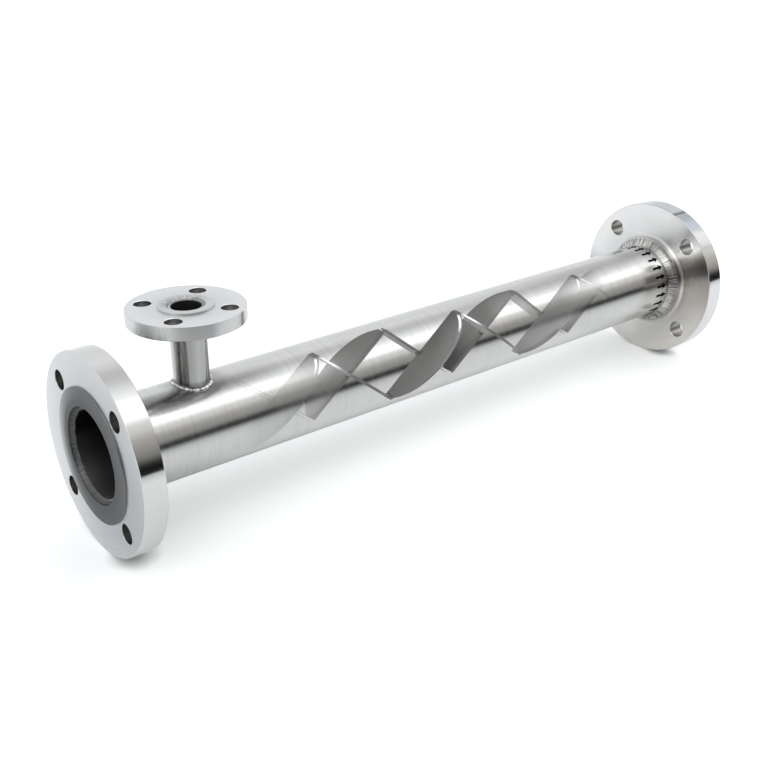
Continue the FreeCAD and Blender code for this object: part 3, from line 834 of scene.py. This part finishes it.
def flange_region(size):
    """Which finish a face of the flange takes: side, gasket face, rim, and bore or hole."""
    slack = 0.1

    def pick(face):
        centre, normal = face.center, face.normal
        radius = radius_of(centre) / MM
        outward = (centre.y * normal.y + centre.z * normal.z) / max(radius_of(centre), 1e-9)
        if radius > size["rim"] - size["edge"] * 1.05 and abs(normal.x) < 0.97:
            return 2
        if centre.x < (size["step"] - slack) * MM and radius > size["bore"] + slack:
            return 1
        if radius < size["bore"] + slack and outward < -0.3:
            return 3
        away = abs(radius - size["bolt_circle"])
        return 3 if away < size["bolt_hole"] and abs(normal.x) < 0.3 else 0

    return pick


main_flange = turned_flange("inlet_flange_turned", MAIN_FLANGE)
dress(main_flange, INLET_LOOK, flange_region(MAIN_FLANGE))
outlet = copy_piece(main_flange, "outlet_flange_turned", Matrix.Identity(4))
dress(outlet, OUTLET_LOOK, flange_region(MAIN_FLANGE))
move(outlet, TO_OUTLET)
inlet = move(main_flange, TO_INLET)
belongs(inlet, "turned_flange", "inlet_flange")
belongs(outlet, "turned_flange", "outlet_flange")

small_flange = turned_flange("nozzle_flange_turned", NOZZLE_FLANGE)
dress(small_flange, NOZZLE_LOOK, flange_region(NOZZLE_FLANGE))
move(small_flange, TO_NOZZLE)
belongs(small_flange, "turned_flange", "nozzle_flange")

# %% [markdown]
# ## The pipes
# The housing is a long tube with a hole under the nozzle. Extra rings on both sides of that
# hole keep the cut's odd faces in a short stretch, so the long reflections stay straight.

# %% Housing pipe and nozzle pipe
PIPE_START = INLET_FACE + PIPE_SETBACK
PIPE_END = OUTLET_FACE - PIPE_SETBACK
ZONE_START, ZONE_END = NOZZLE_X - 24.0, NOZZLE_X + 24.0
NOZZLE_TUBE_END = 96.0


def outside_of(bore, distance):
    """Picks the first finish on the outside of a pipe, and the second in its bore."""
    return lambda face: 0 if distance(face) > (bore + 1) * MM else 1


housing = lathe(
    "housing_tube",
    [
        (PIPE_START, BORE_R),
        (PIPE_START, PIPE_R),
        (ZONE_START, PIPE_R),
        (ZONE_END, PIPE_R),
        (PIPE_END, PIPE_R),
        (PIPE_END, BORE_R),
        (ZONE_END, BORE_R),
        (ZONE_START, BORE_R),
    ],
    segments=256,
)
cut_with(housing, cylinder("branch_drill", NOZZLE_BORE_R, 60, 96, NOZZLE_X, 42, upright=True))
smooth(housing)
dress(
    housing,
    [pipe_skin.material, pipe_bore.material],
    outside_of(BORE_R, lambda face: radius_of(face.center) if abs(face.normal.x) < 0.5 else 0),
)
belongs(housing, "brushed_pipe", "housing_pipe")

# Painted reflections: the tones that the little pipe mirrors, by the angle round it; -90 faces
# the viewer.
BRANCH_PAINTED_REFLECTION = (
    (-180, 0.58), (-174, 0.66), (-167, (0.55, 0.55, 0.54)), (-160, (0.36, 0.35, 0.33)),
    (-152, (0.21, 0.2, 0.19)), (-144, (0.42, 0.42, 0.41)), (-136, (0.4, 0.39, 0.37)),
    (-129, (0.26, 0.25, 0.24)), (-121, (0.31, 0.31, 0.3)), (-104, 0.37), (-96, 0.42), (-72, 0.41),
    (-65, 0.6), (-57, (0.37, 0.37, 0.36)), (-48, (0.17, 0.17, 0.165)), (-38, 0.18), (-20, 0.21),
    (90, 0.5), (180, 0.58),
)
branch_skin = Finish("branch_brushed_steel", (0.44, 0.435, 0.42), roughness=0.2)
streaks = branch_skin.grain(1400.0, 1400.0, 16.0)
branch_skin.bump(streaks, 0.00002)
# The little pipe is darker near its foot.
darker_near_foot = branch_skin.z.ramp((PIPE_R + 1.0) * MM, (PIPE_R + 5.0) * MM, 0.5, 1.0)
branch_painted_reflection = by_angle(branch_skin, BRANCH_PAINTED_REFLECTION, "Z")
branch_skin.feed("Base Color", branch_painted_reflection.scaled(darker_near_foot * streaks.spread(0.88, 1.12)))
branch_skin.feed("Roughness", streaks.spread(0.15, 0.26))

branch = lathe(
    "nozzle_tube",
    [
        (NOZZLE_SETBACK, NOZZLE_BORE_R),
        (NOZZLE_SETBACK, NOZZLE_R),
        (NOZZLE_TUBE_END, NOZZLE_R),
        (NOZZLE_TUBE_END, NOZZLE_BORE_R),
    ],
    segments=128,
)
move(branch, TO_NOZZLE)
cut_with(branch, cylinder("cope_cutter", PIPE_R, 90, 256, NOZZLE_X))
smooth(branch)
# Painted shade: the nozzle's bore is painted near black.
branch_bore = Finish("branch_bore_steel", 0.08, roughness=0.5)
dress(
    branch,
    [branch_skin.material, branch_bore.material],
    outside_of(
        NOZZLE_BORE_R, lambda face: math.hypot(face.center.x - NOZZLE_X * MM, face.center.y)
    ),
)
belongs(branch, "branch_pipe", "nozzle_pipe")

# %% [markdown]
# ## Welds
# A hand-laid bead is a row of overlapping drops, each frozen as the torch moved on. A smooth
# ring is turned first. Then every second or third row of points across it is pulled outwards,
# and a little seeded unevenness is added, so that the light breaks on real ripples.


# %% Rippled ring welds
def crest_rows(rows, seed):
    """Rows where the drops of a bead crest: a hand moves unevenly, so the gaps differ."""
    steps = random.Random(seed)
    crests = set()
    row = 0
    while row < rows:
        crests.add(row)
        row += steps.choice((2, 2, 3, 3))
    return crests


def row_of(first, second, rows):
    """The row across a ring that a point lies in, from two coordinates round its axis."""
    return round(math.atan2(first, second) / (2 * math.pi) * rows) % rows


def pull_crests(made, on_crest, lift, free, rough, seed):
    """Pull out the crests of a bead, and make what is free to move a little uneven."""
    with editing(made, on_crest):
        bpy.ops.transform.shrink_fatten(value=lift * MM)
    with editing(made, free):
        bpy.ops.transform.vertex_random(offset=rough * MM, seed=seed)


def rippled(made, rows, lift, stays, seed):
    """Ripple a ring of weld about X, except at the points that touch other pieces."""
    crests = crest_rows(rows, seed)

    def on_crest(vertex):
        return row_of(vertex.co.y, vertex.co.z, rows) in crests and not stays(vertex.co)

    pull_crests(made, on_crest, lift, lambda vertex: not stays(vertex.co), 0.2, seed)
    smooth(made, 60.0)
    return made


def convex_side(start, end, crown, count):
    """Corners along a crowned line from start to end, in millimetres."""
    along = Vector((end[0] - start[0], end[1] - start[1]))
    out = Vector((along.y, -along.x)).normalized()
    side = []
    for step in range(1, count):
        share = step / count
        lift = crown * 4 * share * (1 - share)
        x = start[0] + along.x * share + out.x * lift
        radius = start[1] + along.y * share + out.y * lift
        side.append((x, radius))
    return side


def bead_steel(name, trough, crest, roughness, axis="X", per_degree=0.6):
    """Steel that froze in drops: dark in the troughs across the bead, and grainy all over."""
    finish = Finish(name, crest, roughness)
    specks = finish.grain(700.0, 700.0, 700.0)
    finish.bump(specks, 0.00025)
    finish.feed("Roughness", specks.spread(roughness - 0.06, roughness + 0.06))
    radius = radius_about(finish, axis)
    drops = finish.noise(turn_about(finish, axis) * per_degree, radius * 70.0, detail=3.0)
    colour = drops.ramp(0.36, 0.56).mix(rgb(trough), rgb(crest))
    finish.feed("Base Color", colour)
    return finish, colour, radius


# Painted light: how strongly the outlet's bead catches the room's long light, by the angle round
# the pipe.
BEAD_LIGHT = (
    (-180, 0.9), (-110, 1), (-90, 1.15), (-75, 0.7), (-60, 0.44), (-45, 0.58), (-30, 0.85),
    (-15, 0.64), (0, 0.5), (15, 0.35), (22, 0.34), (30, 0.45), (38, 0.78), (45, 0.95), (54, 0.92),
    (66, 0.68), (75, 0.6), (90, 0.8), (130, 0.82), (180, 0.9),
)
# The same painted light for its outer part, by the hub, with painted shade where it lies in the
# hub's own shade.
BEAD_AT_HUB = (
    (-180, 0.95), (-90, 0.8), (-60, 0.8), (-45, 0.55), (-30, 0.5), (-15, 0.37), (0, 0.46),
    (15, 0.24), (30, 0.17), (38, 0.36), (52, 0.34), (60, 0.42), (75, 0.56), (90, 0.64),
    (105, 0.82), (130, 0.68), (180, 0.9),
)
outlet_steel, drops, radius = bead_steel(
    "outlet_bead_steel", (0.20, 0.19, 0.18), (0.80, 0.79, 0.77), 0.2, per_degree=0.8
)
by_hub = radius.ramp(48.5 * MM, 50.8 * MM)
# Painted light and shade on the outlet's bead.
painted_bead_light = by_hub.mix(by_angle(outlet_steel, BEAD_LIGHT), by_angle(outlet_steel, BEAD_AT_HUB))
outlet_steel.feed("Base Color", drops.scaled(painted_bead_light))
weld_steel = bead_steel("weld_bead_steel", (0.30, 0.29, 0.28), (0.62, 0.61, 0.60), 0.2)[0]
# How far a bead runs into the faces that it joins, and how deep its root sits in the pipe.
WELD_BITE, WELD_ROOT = 0.05, 0.3


def back_weld(name, hub_end, pipe_radius, height, length, rows, lift, seed):
    """The bead between the end of a hub and its pipe, in the flange's own frame."""
    toe = (hub_end + length, pipe_radius + WELD_BITE)
    top = (hub_end - WELD_BITE, pipe_radius + height)
    root = pipe_radius - WELD_ROOT
    section = [(hub_end - WELD_BITE, root), (hub_end + length, root), toe]
    section += convex_side(toe, top, -0.7, 8) + [top]

    def stays(point):
        return radius_of(point) / MM < pipe_radius + 0.2 or point.x < (hub_end + 0.2) * MM

    return rippled(lathe(name, section, segments=rows), rows, lift, stays, seed)


outlet_bead = back_weld(
    "outlet_back_bead", MAIN_FLANGE["hub_end"], PIPE_R, 8.5, 6.8, rows=360, lift=0.35, seed=3
)
inlet_bead = copy_piece(outlet_bead, "inlet_back_bead", TO_INLET)
dress(outlet_bead, [outlet_steel.material])
dress(inlet_bead, [weld_steel.material])
move(outlet_bead, TO_OUTLET)
nozzle_bead = back_weld(
    "nozzle_back_bead", NOZZLE_FLANGE["hub_end"], NOZZLE_R, 4.5, 4.5, rows=132, lift=0.3, seed=5
)
dress(nozzle_bead, [weld_steel.material])
move(nozzle_bead, TO_NOZZLE)
for bead in (outlet_bead, inlet_bead, nozzle_bead):
    belongs(bead, "weld_bead", "outside_welds")

# %% Bead round the nozzle's foot
SADDLE_ROWS, SADDLE_SEED = 156, 9
SADDLE_CRESTS = crest_rows(SADDLE_ROWS, SADDLE_SEED)


def on_saddle_crest(vertex):
    return row_of(vertex.co.y, vertex.co.x, SADDLE_ROWS) in SADDLE_CRESTS


none_chosen()
bpy.ops.mesh.primitive_torus_add(
    major_radius=(NOZZLE_R + 1.0) * MM,
    minor_radius=1.8 * MM,
    major_segments=SADDLE_ROWS,
    minor_segments=14,
)
saddle_bead = settle(bpy.context.object, "nozzle_saddle_bead")
pull_crests(saddle_bead, on_saddle_crest, 0.3, lambda vertex: True, 0.18, SADDLE_SEED)
for vertex in saddle_bead.data.vertices:
    vertex.co.z += math.sqrt((PIPE_R * MM) ** 2 - vertex.co.y**2)
    vertex.co.x += NOZZLE_X * MM
smooth(saddle_bead, 60.0)
saddle_steel = bead_steel(
    "saddle_bead_steel", (0.26, 0.26, 0.25), 0.76, 0.2, axis="Z", per_degree=0.14
)[0]
dress(saddle_bead, [saddle_steel.material])
belongs(saddle_bead, "weld_bead", "outside_welds")

# %% Beads inside the bores
RING_START = 0.35
SAG = 0.988


def bore_bead(name, bore, setback, lip, rows, lift, seed):
    """The ring of weld inside a flange, from its bore down to the end of the pipe."""
    start = (RING_START, bore + WELD_BITE)
    end = (setback + WELD_ROOT, lip)
    section = [(setback + WELD_ROOT, bore + WELD_BITE), start]
    section += convex_side(start, end, -0.5, 7) + [end]
    made = lathe(name, section, segments=rows)
    crests = crest_rows(rows, seed)
    # Here and there a drop sagged over the pipe's end before it froze.
    sags = crest_rows(rows // 6, seed + 1)

    def stays(point):
        return radius_of(point) > (bore - 0.15) * MM

    def on_crest(vertex):
        return row_of(vertex.co.y, vertex.co.z, rows) in crests and not stays(vertex.co)

    def on_sag(vertex):
        run = row_of(vertex.co.y, vertex.co.z, rows) // 6
        return run in sags and radius_of(vertex.co) < (lip + 0.9) * MM

    pull_crests(made, on_crest, lift, lambda vertex: not stays(vertex.co), 0.2, seed)
    with editing(made, on_sag):
        widen(SAG)
    smooth(made, 60.0)
    return made


# Painted light and shade: the inlet's ring lies in shadow but for its lower left, where some
# light comes in.
RING_LIGHT = (
    (-180, 0.8), (-155, 0.95), (-130, 1.2), (-100, 1.1), (-70, 0.9), (90, 0.75), (180, 0.8),
)
bore_weld, drops, radius = bead_steel("bore_weld_steel", 0.08, 0.115, 0.42, per_degree=0.3)
# Painted shade at the ring's outer toe.
toe_shade = radius.ramp(44.6 * MM, 45.1 * MM, 1.0, 0.6)
bore_weld.feed("Base Color", drops.scaled(by_angle(bore_weld, RING_LIGHT) * toe_shade))
outlet_ring = bore_bead(
    "outlet_bore_bead", MAIN_FLANGE["bore"], PIPE_SETBACK, BORE_R + 0.3, 276, 0.15, seed=11
)
dress(outlet_ring, [bore_weld.material])
inlet_ring = copy_piece(outlet_ring, "inlet_bore_bead", TO_INLET)
move(outlet_ring, TO_OUTLET)
nozzle_lip = NOZZLE_BORE_R + 0.3
nozzle_ring = bore_bead(
    "nozzle_bore_bead", NOZZLE_FLANGE["bore"], NOZZLE_SETBACK, nozzle_lip, 120, 0.2, seed=13
)
nozzle_ring_steel = bead_steel(
    "nozzle_ring_steel", 0.20, (0.38, 0.38, 0.375), 0.3, axis="Z", per_degree=0.2
)[0]
dress(nozzle_ring, [nozzle_ring_steel.material])
move(nozzle_ring, TO_NOZZLE)
for ring in (inlet_ring, outlet_ring, nozzle_ring):
    belongs(ring, "weld_bead", "bore_welds")

# %% [markdown]
# ## Flow arrows
# A ring of small printed arrows round the pipe shows which way the mixer is piped in. Ink has
# almost no height, so one arrow is a flat shape, cut into strips, wrapped on the pipe and given
# a tenth of a millimetre of thickness. The other 23 are copies, turned about the pipe.

# %% Arrows
ink = Finish("printed_arrow_black", 0.002, roughness=0.7, metallic=0.0)
ink.feed("Specular IOR Level", 0.04)
ARROW_COUNT = 24
ARROW_TAIL, ARROW_NECK, ARROW_TIP = 726.4, 736.6, 743.9
ARROW_BARB = 0.3
ARROW_SHAFT, ARROW_HEAD = 1.5, 3.7
ARROW_FIRST_ANGLE = 6.0
INK_HEIGHT = 0.12

none_chosen()
bpy.ops.mesh.primitive_plane_add(size=1.0)
arrow = bpy.context.object
arrow.scale = ((ARROW_NECK - ARROW_TAIL) * MM, 2 * ARROW_SHAFT * MM, 1)
arrow.location = ((ARROW_NECK + ARROW_TAIL) / 2 * MM, 0, 0)
settle(arrow, "flow_arrow_01")
with editing(arrow, lambda vertex: vertex.co.x > (ARROW_NECK - 0.1) * MM):
    extrude(ARROW_BARB)
    widen(ARROW_HEAD / ARROW_SHAFT)
    extrude(ARROW_TIP - ARROW_NECK - ARROW_BARB)
    bpy.ops.mesh.merge(type="CENTER")
for cut in (-2.6, -1.3, 0.0, 1.3, 2.6):
    with editing(arrow, kind="FACE"):
        bpy.ops.mesh.bisect(plane_co=(0, cut * MM, 0), plane_no=(0, 1, 0))
with editing(arrow, kind="FACE"):
    bpy.ops.mesh.normals_make_consistent(inside=False)
    extrude(z=2 * INK_HEIGHT)
    outward_normals()
for vertex in arrow.data.vertices:
    radius = (PIPE_R - INK_HEIGHT) * MM + vertex.co.z
    turn = vertex.co.y / (PIPE_R * MM)
    vertex.co.y, vertex.co.z = -radius * math.sin(turn), radius * math.cos(turn)
dress(arrow, [ink.material])
arrows = [arrow]
for number in range(1, ARROW_COUNT):
    turned = Matrix.Rotation(2 * math.pi * number / ARROW_COUNT, 4, "X")
    arrows.append(copy_piece(arrow, "flow_arrow_%02d" % (number + 1), turned))
only(*arrows)
bpy.ops.object.join()
arrow_ring = bpy.context.object
move(arrow_ring, Matrix.Rotation(math.radians(ARROW_FIRST_ANGLE), 4, "X"))
arrow_ring.name = "flow_arrows"
belongs(arrow_ring, "brushed_pipe")

# %% [markdown]
# ## Mixing plates
# Each element is two half-ellipse plates that cross. One plate starts as a solid cylinder of
# the stack's radius. Two slanting cuts leave a slab of it and a third takes away the far half,
# which is how the rounded edge and the mitred ends come about. The other eleven are copies,
# turned or mirrored.

# %% Plates
OFF_WHITE = (1.0, 1.0, 0.98)
plate_steel = Finish("mixing_plate_steel", 0.25, roughness=0.4, metallic=0.2)
mill = plate_steel.grain(60.0, 1500.0, 60.0)
plate_steel.bump(mill, 0.00002)
mill_tone = mill.spread(0.92, 1.08)
plate_steel.feed("Base Color", (mill_tone * 0.23).tinted(OFF_WHITE))
# Painted light: every plate glows a little, and the left plates, farther from the viewer, glow
# more and show lighter, but for their feet.
far_side = plate_steel.y.ramp(0.0, 4 * MM)
foot = plate_steel.z.ramp(-4 * MM, -26 * MM)
painted_glow = 0.08 + far_side * (0.06 - foot * 0.12)
plate_steel.feed("Emission Color", (mill_tone * painted_glow).tinted(OFF_WHITE))
plate_steel.feed("Emission Strength", 1.0)

# Painted light: the undersides glow, standing for the bright bore they look down on, and are seen
# almost edge-on.
plate_underside_glow = Finish("plate_underside_glow", 0.60, roughness=0.4, metallic=0.0)
plate_underside_glow.feed("Emission Color", (1.0, 1.0, 1.0))
plate_underside_glow.feed("Emission Strength", 0.15)

# The curved edges were ground after cutting. Near the top they carry a painted highlight, in
# colour and glow, for the long light they catch.
plate_edge = Finish("plate_ground_edge", 0.12, roughness=0.3, metallic=0.0)
painted_edge_highlight = lit_level(plate_edge.x, plate_edge.z).ramp(22 * MM, 30 * MM)
painted_edge_highlight = painted_edge_highlight * plate_edge.y.ramp(-13 * MM, -9 * MM, 1.0, 0.0)
# The right plates zigzag along the pipe, and the painted highlight lies on the upper part of
# their edges.
zigzag = (plate_edge.x - STACK_START * MM).math("PINGPONG", ELEMENT_PITCH * MM) * SLOPE
over = plate_edge.z - zigzag - (STACK_Z - ELEMENT_R) * MM
painted_edge_highlight = painted_edge_highlight * over.ramp(-1.0 * MM, -0.2 * MM)
plate_edge.feed("Base Color", painted_edge_highlight.ramp(0.0, 1.0, 0.12, 0.95))
plate_edge.feed("Emission Color", painted_edge_highlight * 0.75 + 0.12)
plate_edge.feed("Emission Strength", 1.0)
PLATE_LOOK = [plate_steel.material, plate_edge.material, plate_underside_glow.material]

first_plate = cylinder("plate_1_right", ELEMENT_R, ELEMENT_PITCH, 192)
SLANT = Vector((-SLOPE, 0, 1)).normalized()
for way in (1, -1):
    with editing(first_plate, kind="FACE"):
        bpy.ops.mesh.bisect(
            plane_co=SLANT * (way * PLATE_THICKNESS / 2 * MM),
            plane_no=SLANT,
            use_fill=True,
            clear_outer=way > 0,
            clear_inner=way < 0,
        )
with editing(first_plate, kind="FACE"):
    bpy.ops.mesh.bisect(plane_co=(0, 0, 0), plane_no=(0, 1, 0), use_fill=True, clear_outer=True)
apply_modifier(
    first_plate,
    "BEVEL",
    width=0.3 * MM,
    segments=2,
    limit_method="ANGLE",
    angle_limit=math.radians(40),
)
smooth(first_plate)


def plate_region(face):
    """Upper side and straight edge take the mill finish, curved edge and underside their own."""
    normal = face.normal
    if abs(normal.x) > 0.4:
        return 2 if normal.z < 0 else 0
    return 0 if abs(normal.y) > 0.9 and abs(face.center.y) < 1.0 * MM else 1


def plate_place(number, side):
    """Where a plate of the stack goes, as a move of the first one's shape at the origin."""
    middle = Vector(((STACK_START + ELEMENT_PITCH * (number - 0.5)) * MM, 0, STACK_Z * MM))
    rises = (number % 2 == 1) == (side == "right")
    flip_side = 1 if side == "right" else -1
    flip_rise = 1 if rises else -1
    return Matrix.Translation(middle) @ Matrix.Diagonal((1, flip_side, flip_rise, 1))


for number in range(1, ELEMENT_COUNT + 1):
    for side in ("right", "left"):
        if (number, side) == (1, "right"):
            continue
        place = plate_place(number, side)
        plate = copy_piece(first_plate, "plate_%d_%s" % (number, side), place)
        if place.determinant() < 0:
            with editing(plate, kind="FACE"):
                bpy.ops.mesh.normals_make_consistent(inside=False)
        dress(plate, PLATE_LOOK, plate_region)
        belongs(plate, "mixing_plate", "element_%d_%s_plate" % (number, side))
move(first_plate, plate_place(1, "right"))
dress(first_plate, PLATE_LOOK, plate_region)
belongs(first_plate, "mixing_plate", "element_1_right_plate")

# %% [markdown]
# ## Small welds in the stack
# The centre welds, tip welds and wall tacks are the solids' own, with the weld's finish.

# %% Finish for the carried nodes
for name in ("element_centre_welds", "element_tip_welds", "element_wall_tacks"):
    dress(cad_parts[name], [weld_steel.material])

# %% [markdown]
# ## The room
# Polished steel has hardly any colour of its own, so it shows the room. The photograph's room is
# a white table, a long white light above and in front, and darkness between the table's near
# edge and that light. The world here is that room, painted by height round the pipe's axis. The
# table greys towards its near edge, and the camera sees a painted shadow on it at the flanges'
# feet.

# %% Floor and world
FLOOR_NEAR, FLOOR_FAR, FLOOR_WIDTH, FLOOR_MIDDLE = -0.96, 4.4, 9.0, 0.4
FLOOR_GREY_UNTIL = -0.45
FLOOR_GAP = 0.0002
bpy.ops.mesh.primitive_plane_add(size=1.0)
floor = bpy.context.object
floor.name = "floor"
floor.scale = (FLOOR_WIDTH, FLOOR_FAR - FLOOR_NEAR, 1.0)
floor.location = (FLOOR_MIDDLE, (FLOOR_FAR + FLOOR_NEAR) / 2, FLOOR_Z * MM - FLOOR_GAP)
settle(floor)

paint = Finish("white_floor", 0.9, roughness=0.9, metallic=0.0)
paint.feed("Specular IOR Level", 0.0)
depth = paint.y.ramp(FLOOR_NEAR, FLOOR_GREY_UNTIL)
in_view = ray_is(paint.tree, "Camera")
# A painted shadow, which only the camera sees, is deepest just in front of the spot that each
# flange stands on, and ends at its reach. Places and reach are in millimetres.
clear_of_painted_shadows = None
for foot_x, foot_y, reach in ((16.0, -27.0, 27.0), (774.0, -24.0, 24.0)):
    along, aside = paint.x - foot_x * MM, paint.y - foot_y * MM
    distance = (along * along + aside * aside).math("SQRT")
    light = distance.ramp(7 * MM, reach * MM, 0.42, 1.0)
    clear_of_painted_shadows = light if clear_of_painted_shadows is None else clear_of_painted_shadows * light
painted_shadow_factor = 1.0 - in_view * (1.0 - clear_of_painted_shadows)
floor_tone = depth.mix((0.50, 0.53, 0.56), (0.965, 0.98, 0.985))
paint.feed("Base Color", floor_tone.scaled(painted_shadow_factor))
seen = in_view * painted_shadow_factor * depth.ramp(0.0, 1.0, 0.75, 0.21)
paint.feed("Emission Strength", seen + ray_is(paint.tree, "Glossy") * 0.02)
paint.feed("Emission Color", (1.0, 1.0, 1.0))
floor.data.materials.append(paint.material)

# Brightness of the room by the angle round the pipe's axis: 0 is level towards the viewer, 90 is
# straight up, 180 is level behind the mixer.
ROOM = (
    (-90, 0.004), (-1, 0.006), (3, (0.035, 0.035, 0.034)), (7, (0.13, 0.13, 0.125)),
    (11, (0.27, 0.27, 0.26)), (19, (0.39, 0.38, 0.36)), (27, (0.5, 0.49, 0.465)),
    (31, (0.59, 0.58, 0.56)), (39, (0.86, 0.85, 0.84)), (46, 0.96), (51, 1.45), (55, 1.8),
    (71, 1.8), (77, (1.36, 1.38, 1.4)), (91, (1, 1.02, 1.05)), (99, (0.8, 0.81, 0.82)),
    (106, 0.74), (114, 0.77), (122, 0.93), (131, (1.02, 1.03, 1.03)), (140, (1, 1.01, 1.02)),
    (155, (0.93, 0.96, 0.98)), (180, (0.96, 0.97, 0.99)), (270, 1),
)
world = bpy.data.worlds.new("studio")
bpy.context.scene.world = world
world.use_nodes = True
background = world.node_tree.nodes["Background"]
_, _, away, height = coordinates(world.node_tree, "Generated")
turn = height.math("ARCTAN2", away * -1.0) * (180 / math.pi)
turn = turn + (turn < -90.0) * 360.0
room = turn.table(ROOM, ROOM[0][0], ROOM[-1][0])
connect(background.inputs["Color"], ray_is(world.node_tree, "Camera").mix(room, (1.0, 1.0, 1.0)))
connect(background.inputs["Strength"], 1.0)
